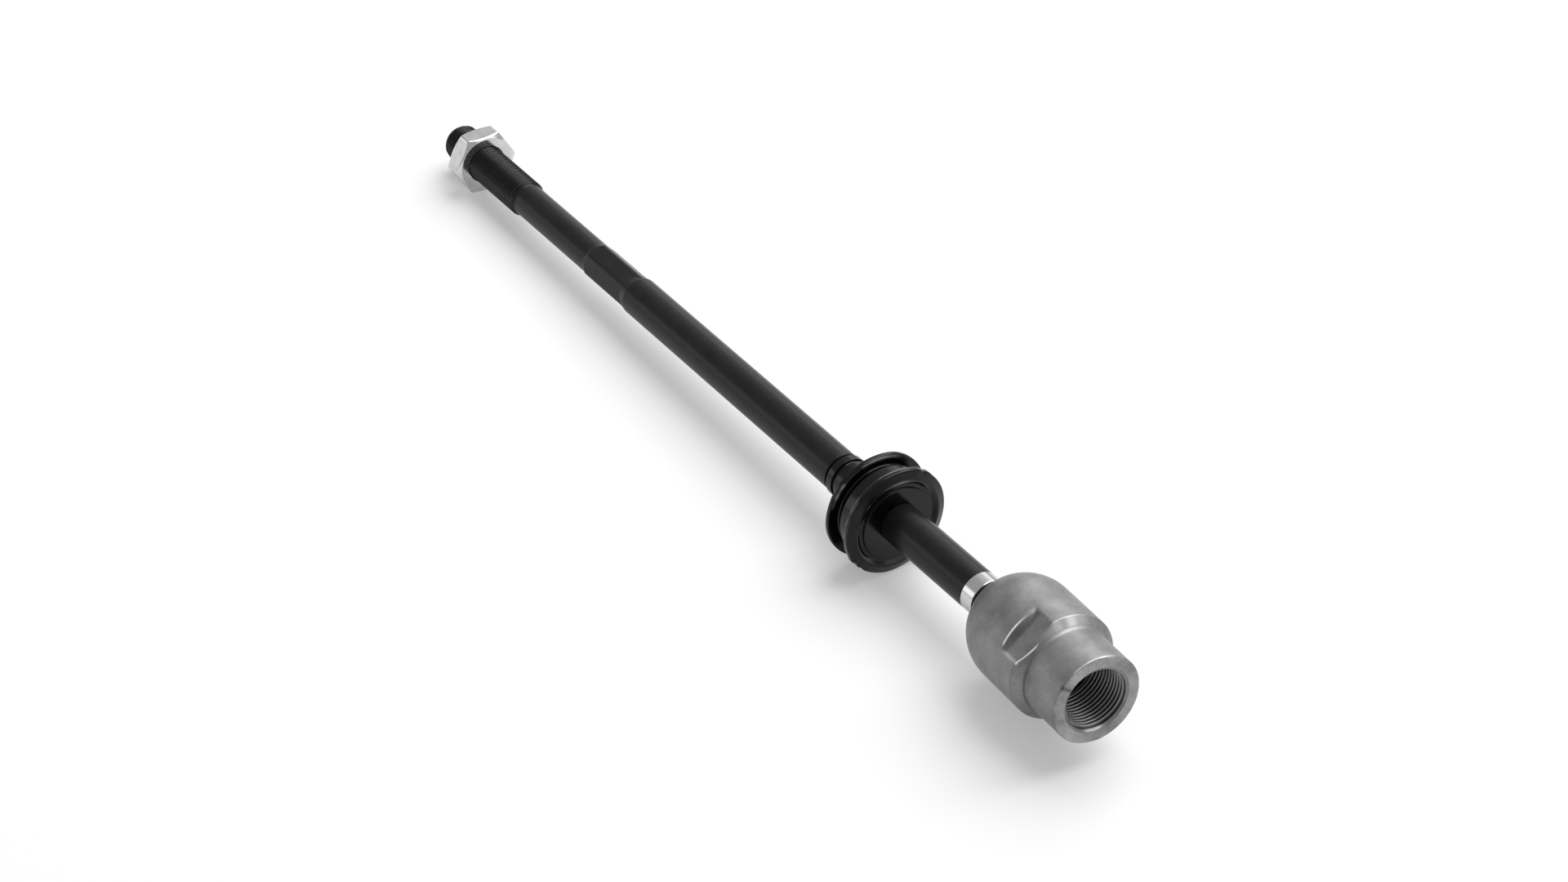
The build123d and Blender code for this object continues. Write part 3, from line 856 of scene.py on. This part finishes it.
# %% [markdown]
# The camera stands where the photograph was taken from, above and in front of the socket, with a
# long lens. Its place and lens were worked out from the ellipses of the round parts.

# %% Camera
CAMERA_PLACE = Vector((0.85717, -0.54838, 0.76748))
CAMERA_LOOK = Vector((-0.66597, 0.43751, -0.60421))
camera = bpy.data.objects.new("camera", bpy.data.cameras.new("camera"))
camera.data.lens = 86.154
camera.data.sensor_width = 36.0
camera.data.clip_start = 0.05
camera.location = CAMERA_PLACE
camera.rotation_euler = CAMERA_LOOK.to_track_quat("-Z", "Y").to_euler()
bpy.context.scene.collection.objects.link(camera)
bpy.context.scene.camera = camera
print("camera", tuple(round(value, 3) for value in camera.location))

# %% [markdown]
# A product photograph of this kind is taken on a white sweep. The floor is one pale sheet that is
# lifted a little where the camera or a mirror sees it, so that it runs to white and still keeps its
# shadow. The lift lights nothing else.

# %% Floor


def make_floor():
    """One large pale quad that keeps the soft shadow."""
    size = 6.0
    corners = [(-size, -size, 0), (size, -size, 0), (size, size, 0), (-size, size, 0)]
    mesh = bpy.data.meshes.new("floor")
    mesh.from_pydata(corners, [], [(0, 1, 2, 3)])
    floor = bpy.data.objects.new("floor", mesh)
    surface = {"Base Color": hex_colour("#c0c0c0"), "Roughness": 0.9, "Specular IOR Level": 0.0}
    finish, tree, shader, _ = new_finish("white_sweep", surface)
    rays = add_node(tree, "ShaderNodeLightPath", {}).outputs
    seen = add_node(tree, "ShaderNodeMath", {0: rays["Is Camera Ray"], 1: rays["Is Glossy Ray"]},
                    operation="MAXIMUM")
    lift = add_node(tree, "ShaderNodeEmission", {"Color": (1, 1, 1, 1), "Strength": 0.315})
    nothing = add_node(tree, "ShaderNodeEmission", {"Strength": 0.0})
    extra = add_node(tree, "ShaderNodeMixShader", {"Fac": seen, 1: nothing, 2: lift})
    total = add_node(tree, "ShaderNodeAddShader", {0: shader, 1: extra})
    feed(tree, tree.nodes["Material Output"], {"Surface": total})
    mesh.materials.append(finish)
    bpy.context.scene.collection.objects.link(floor)
    print("floor is", 2 * size, "m wide")


make_floor()

# %% [markdown]
# The camera sees a white world. A mirror-like surface sees a plain grey room instead, with soft
# patches that are brighter or darker, and matt surfaces get an even fill. So the background can be
# white and yet never washes out the metal.

# %% World
ROOM, FILL, WHITE = 0.5, 0.45, 1.0
PATCHES = {
    # azimuth, height, fully there within, gone beyond, and how much it adds
    "sweep behind": (-50, 26, 10, 36, 0.2),
    "strip of light": (-45, 19, 6, 14, 0.7),
    "dark edge": (-40, -2, 11, 14, -0.28),
    "window": (-137, 12, 8, 13, 1.2),
    "side box": (56, 34, 14, 30, 1.3),
    "dark side": (123, 37, 14, 40, -0.05),
}


def toward(azimuth, height):
    """Unit direction from an azimuth, which turns from +Y towards +X, and a height, both in degrees."""
    azimuth, height = np.radians(azimuth), np.radians(height)
    return (np.sin(azimuth) * np.cos(height), np.cos(azimuth) * np.cos(height), np.sin(height))


def patch(tree, direction, azimuth, height, inner, outer, strength):
    """Soft-edged round patch of the world: full strength within inner degrees of its centre."""
    facing = add_node(tree, "ShaderNodeVectorMath", {0: direction, 1: toward(azimuth, height)},
                      operation="DOT_PRODUCT")
    edge, full = np.cos(np.radians(outer)), np.cos(np.radians(inner))
    return add_node(tree, "ShaderNodeMapRange", {"Value": facing, "From Min": edge, "From Max": full,
                    "To Max": strength}, interpolation_type="SMOOTHSTEP")


def make_world():
    """White to the camera, a grey room with its patches to mirrors, and a plain fill to matt surfaces."""
    world = bpy.data.worlds.new("studio")
    world.use_nodes = True
    tree = world.node_tree
    rays = add_node(tree, "ShaderNodeLightPath", {}).outputs
    direction = add_node(tree, "ShaderNodeTexCoord", {}).outputs["Generated"]
    mirror = ROOM
    for values in PATCHES.values():
        light = patch(tree, direction, *values)
        mirror = add_node(tree, "ShaderNodeMath", {0: light, 1: mirror}, operation="ADD")
    lit = add_node(tree, "ShaderNodeMix", {"Factor": rays["Is Glossy Ray"], "A": FILL, "B": mirror},
                   data_type="FLOAT")
    white = add_node(tree, "ShaderNodeMath", {0: rays["Is Camera Ray"], 1: rays["Is Transmission Ray"]},
                     operation="MAXIMUM")
    level = add_node(tree, "ShaderNodeMix", {"Factor": white, "A": lit, "B": WHITE}, data_type="FLOAT")
    feed(tree, tree.nodes["Background"], {"Color": (1, 1, 1, 1), "Strength": level})
    bpy.context.scene.world = world
    print("world has", len(PATCHES), "patches:", ", ".join(PATCHES))


make_world()

# %% [markdown]
# One big soft lamp stands high behind the object. It is wide, so the shadow that it throws on the
# camera's side has no hard edge, and far, so the light is as strong at the tip as at the socket.

# %% Lamp


def add_lamp(name, place, aim, size, power):
    """Square area lamp, in metres and watts, that looks at a point."""
    lamp = bpy.data.lights.new(name, "AREA")
    lamp.shape, lamp.size, lamp.energy = "SQUARE", size, power
    holder = bpy.data.objects.new(name, lamp)
    holder.location = place
    holder.rotation_euler = (Vector(aim) - Vector(place)).to_track_quat("-Z", "Y").to_euler()
    bpy.context.scene.collection.objects.link(holder)
    print(name, "of", size, "m and", power, "W")


add_lamp("overhead_box", (-0.4, 2.0, 3.4), (0, 0, 0), 4.0, 224)
bpy.context.scene.view_settings.view_transform = "Standard"
